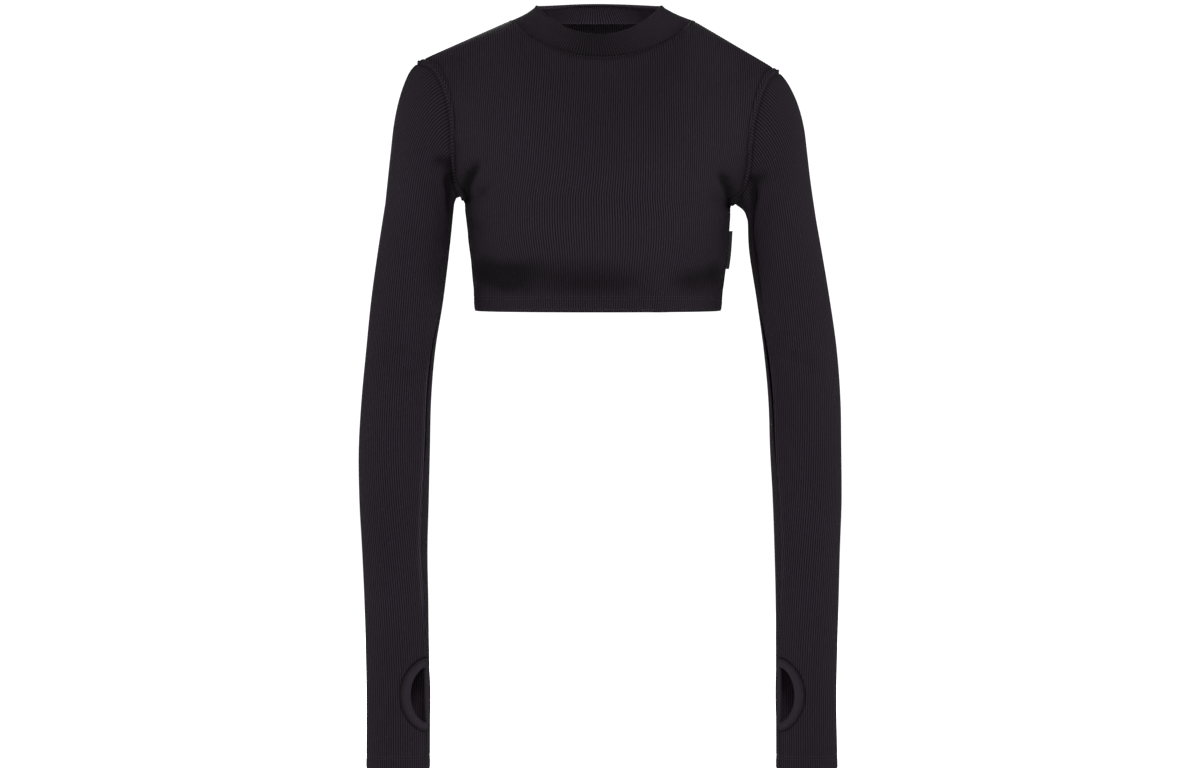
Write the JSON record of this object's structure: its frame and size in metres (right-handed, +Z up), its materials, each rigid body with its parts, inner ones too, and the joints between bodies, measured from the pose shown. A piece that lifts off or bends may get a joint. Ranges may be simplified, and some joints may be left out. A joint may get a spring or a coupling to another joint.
{
  "type": "crop top",
  "caption": "Cropped mock-neck top in fine rib knit, long sleeves with thumbholes, hollow as when worn.",
  "frame": {"origin": "midway between the two neck points and level with them, where the wearer's neck and shoulders hold the top", "axes": "+X to the wearer's left, +Y to the wearer's back, +Z up"},
  "size_m": [0.4818, 0.2111, 0.7671],
  "materials": {
    "rib_knit": "matt black fine rib knit with a slight purple cast",
    "collar_rib": "the same rib knit, folded double at the neck and bound round the thumbholes",
    "label_tape": "black woven tape, slightly satin, blank"
  },
  "bodies": {
    "root": {"front": "rib_knit", "back": "rib_knit", "sleeve_right": "rib_knit", "sleeve_left": "rib_knit", "collar": "collar_rib", "thumbhole_band_right": "collar_rib", "thumbhole_band_left": "collar_rib", "side_label": "label_tape"}
  },
  "joints": []
}
